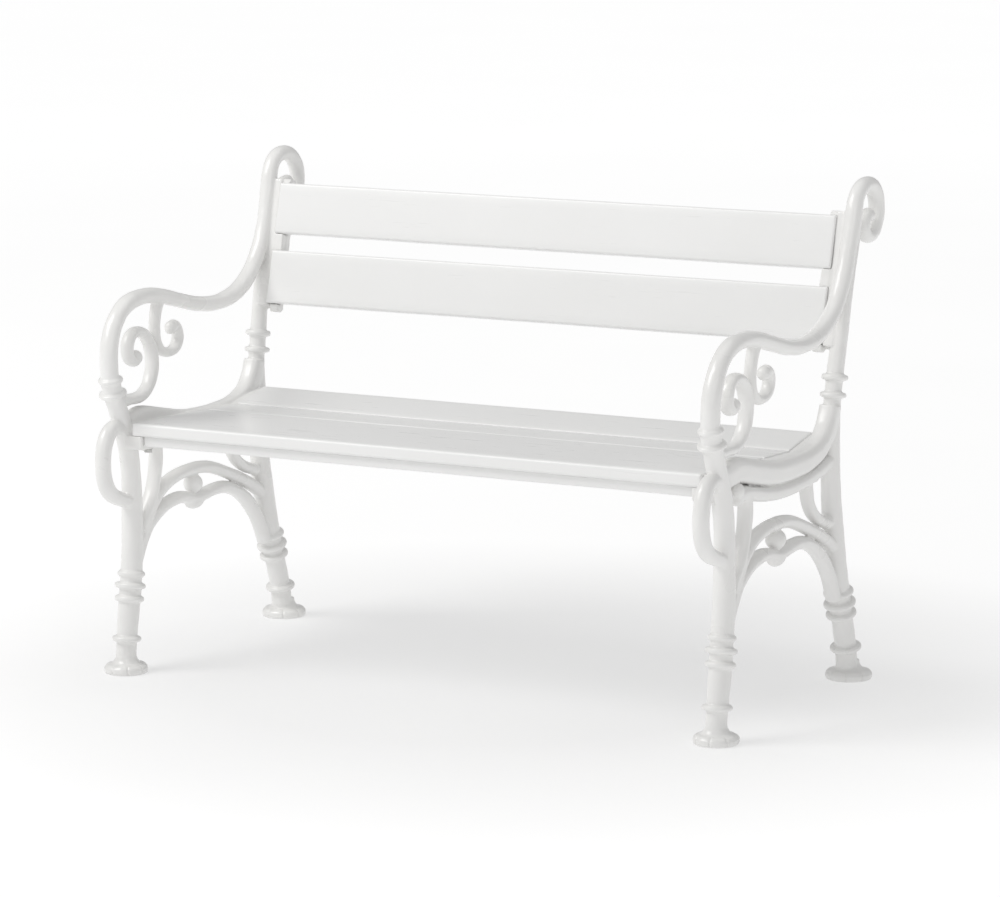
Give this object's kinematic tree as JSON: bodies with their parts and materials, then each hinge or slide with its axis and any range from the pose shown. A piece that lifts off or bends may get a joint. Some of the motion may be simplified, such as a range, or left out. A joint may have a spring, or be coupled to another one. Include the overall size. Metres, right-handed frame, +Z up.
{
  "type": "garden bench",
  "caption": "Two-seat garden bench with a pair of mirrored scrolled cast metal ends, flat painted seat boards and back slats, and round feet.",
  "frame": {"origin": "on the ground, at the middle of the bench's footprint box", "axes": "+X along the bench towards a sitter's left hand, +Y towards the back of the bench, +Z up"},
  "size_m": [1.201, 0.6934, 0.8562],
  "materials": {
    "painted_iron": "glossy white paint over the casting",
    "painted_board": "satin white paint over planed boards",
    "fastener_steel": "dull zinc"
  },
  "bodies": {
    "root": {"right_end_casting": "painted_iron", "left_end_casting": "painted_iron", "seat_board_front": "painted_board", "seat_board_middle": "painted_board", "seat_board_rear": "painted_board", "back_slat_lower": "painted_board", "back_slat_upper": "painted_board", "front_seat_rail": "painted_board", "seat_board_front_screws": "fastener_steel", "seat_board_front_washers": "fastener_steel", "seat_board_middle_screws": "fastener_steel", "seat_board_middle_washers": "fastener_steel", "seat_board_rear_screws": "fastener_steel", "seat_board_rear_washers": "fastener_steel", "back_slat_lower_screws": "fastener_steel", "back_slat_lower_washers": "fastener_steel", "back_slat_upper_screws": "fastener_steel", "back_slat_upper_washers": "fastener_steel", "front_seat_rail_screws": "fastener_steel"}
  },
  "joints": []
}
